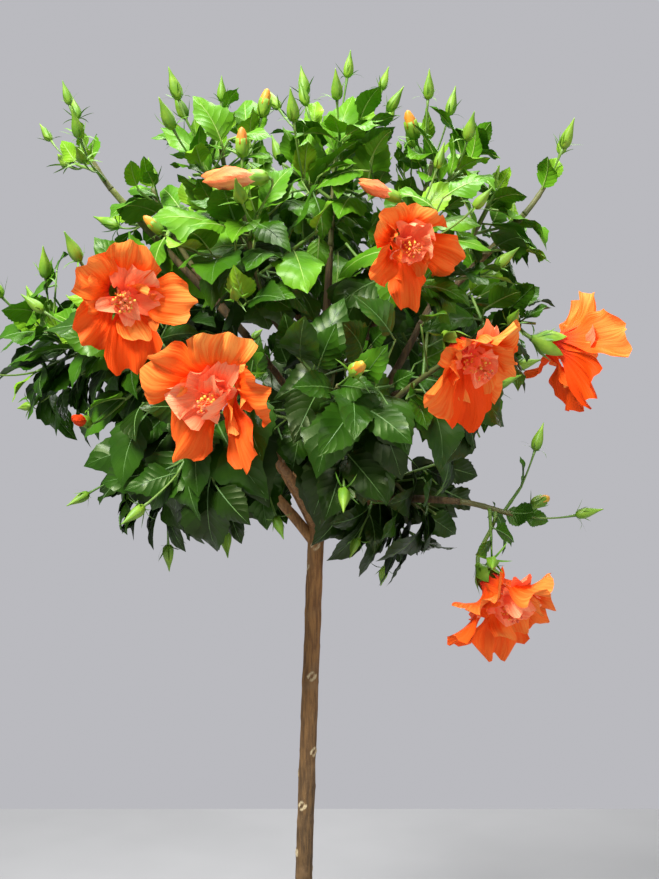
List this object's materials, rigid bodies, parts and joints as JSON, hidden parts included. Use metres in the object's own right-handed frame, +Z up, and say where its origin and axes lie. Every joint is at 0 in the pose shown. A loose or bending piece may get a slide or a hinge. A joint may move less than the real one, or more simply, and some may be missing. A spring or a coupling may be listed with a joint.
{
  "type": "potted hibiscus standard",
  "caption": "Double-flowered orange hibiscus grown as a standard: bare stem, rounded leafy head with open blooms and stalked buds, in a plain round clay pot.",
  "frame": {"origin": "middle of the pot's flat underside", "axes": "+Z up along the stem, the head's fullest flowering side faces -Y, +X to its right"},
  "size_m": [0.5411, 0.4727, 1.039],
  "materials": {
    "pot": "matte",
    "soil": "matte",
    "bark": "matte",
    "leaf": "satin",
    "leaf_young": "satin",
    "stem": "satin",
    "bud": "satin",
    "petal": "matte",
    "petal_inner": "matte",
    "stamen": "matte"
  },
  "bodies": {
    "root": {"pot": "pot", "soil": "soil", "trunk": "bark", "bough_top": "bark", "bough_left": "bark", "bough_droop": "bark", "bough_front_left": "bark", "bough_front_right": "bark", "bough_back_left": "bark", "bough_back_right": "bark", "bough_right": "bark", "bough_upper_left": "bark", "bough_front": "bark", "bough_upper_right": "bark", "bough_side_left": "bark", "bough_low_left": "bark", "bough_low_right": "bark", "bough_top_left": "bark", "bough_top_right": "bark", "bough_front_upper": "bark", "bough_front_top": "bark", "bough_back_top": "bark", "bough_back_low": "bark", "bough_spray_left": "bark", "bough_spray_right": "bark", "foliage_top": "leaf", "foliage_left": "leaf", "foliage_droop": "leaf", "foliage_front_left": "leaf", "foliage_front_right": "leaf", "foliage_back_left": "leaf", "foliage_back_right": "leaf", "foliage_right": "leaf", "foliage_upper_left": "leaf", "foliage_front": "leaf", "foliage_upper_right": "leaf", "foliage_side_left": "leaf", "foliage_low_left": "leaf", "foliage_low_right": "leaf", "foliage_top_left": "leaf", "foliage_top_right": "leaf", "foliage_front_upper": "leaf", "foliage_front_top": "leaf", "foliage_back_top": "leaf", "foliage_back_low": "leaf", "foliage_spray_left": "leaf", "foliage_spray_right": "leaf"}
  },
  "joints": []
}
